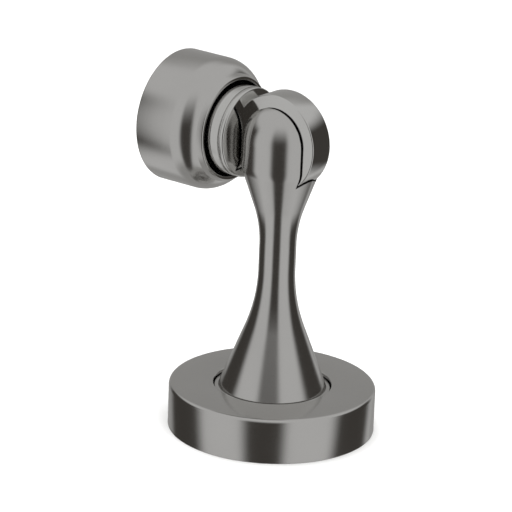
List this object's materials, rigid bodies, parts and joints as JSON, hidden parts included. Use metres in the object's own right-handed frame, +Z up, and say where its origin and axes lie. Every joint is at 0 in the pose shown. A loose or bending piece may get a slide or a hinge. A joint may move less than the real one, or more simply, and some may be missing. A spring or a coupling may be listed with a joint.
{
  "type": "floor door holder",
  "caption": "Magnetic floor door holder: a waisted stem on a round rose carries a tilting magnet head that grips a sprung strike plate inside a cup fixed to the door.",
  "frame": {"origin": "centre of the base's underside, on the stem's axis", "axes": "+Z up along the stem, the door and its cup stand towards -X, the head tilts about +Y"},
  "size_m": [0.0566, 0.05, 0.0881],
  "materials": {
    "satin_nickel": "satin brushed",
    "polished_nickel": "polished",
    "zinc_steel": "zinc plated",
    "bright_steel": "ground",
    "black_steel": "black oxide",
    "magnet_plating": "plated sintered magnet",
    "bush_brass": "turned",
    "nylon": "natural nylon",
    "buffer_rubber": "black rubber"
  },
  "bodies": {
    "base": {"base_ring": "satin_nickel", "ring_grub_screw": "black_steel", "floor_plate": "zinc_steel", "thrust_washer": "nylon"},
    "stem_body": {"stem": "satin_nickel", "stem_bolt": "black_steel", "lock_washer": "zinc_steel", "cross_pin": "bright_steel"},
    "head": {"magnet_head": "polished_nickel", "tilt_bush": "bush_brass", "friction_washers": "bright_steel", "magnet_pot": "zinc_steel", "magnet": "magnet_plating", "magnet_spacer": "nylon", "magnet_screw": "zinc_steel"},
    "cup": {"door_cup": "satin_nickel", "cup_grub_screw": "black_steel", "door_plate": "zinc_steel", "strike_buffer": "buffer_rubber", "strike_spring": "bright_steel"},
    "strike": {"strike_plate": "bright_steel", "strike_stud": "bright_steel", "stud_clip": "black_steel"}
  },
  "joints": [
    {"name": "stem_swivel", "type": "hinge", "parent": "base", "child": "stem_body", "pos_m": [0, 0, 0], "axis": [0, 0, 1], "continuous": true},
    {"name": "head_tilt", "type": "hinge", "parent": "stem_body", "child": "head", "pos_m": [0, 0, 0.072], "axis": [0, 1, 0], "range_deg": [0, 180]},
    {"name": "cup_release", "type": "slide", "parent": "head", "child": "cup", "axis": [-1, 0, 0], "range_m": [0, 0.03]},
    {"name": "strike_cushion", "type": "slide", "parent": "cup", "child": "strike", "axis": [-1, 0, 0], "range_m": [0, 0.0019], "stiffness_N_per_m": 1500, "deforming": ["strike_spring"]}
  ]
}
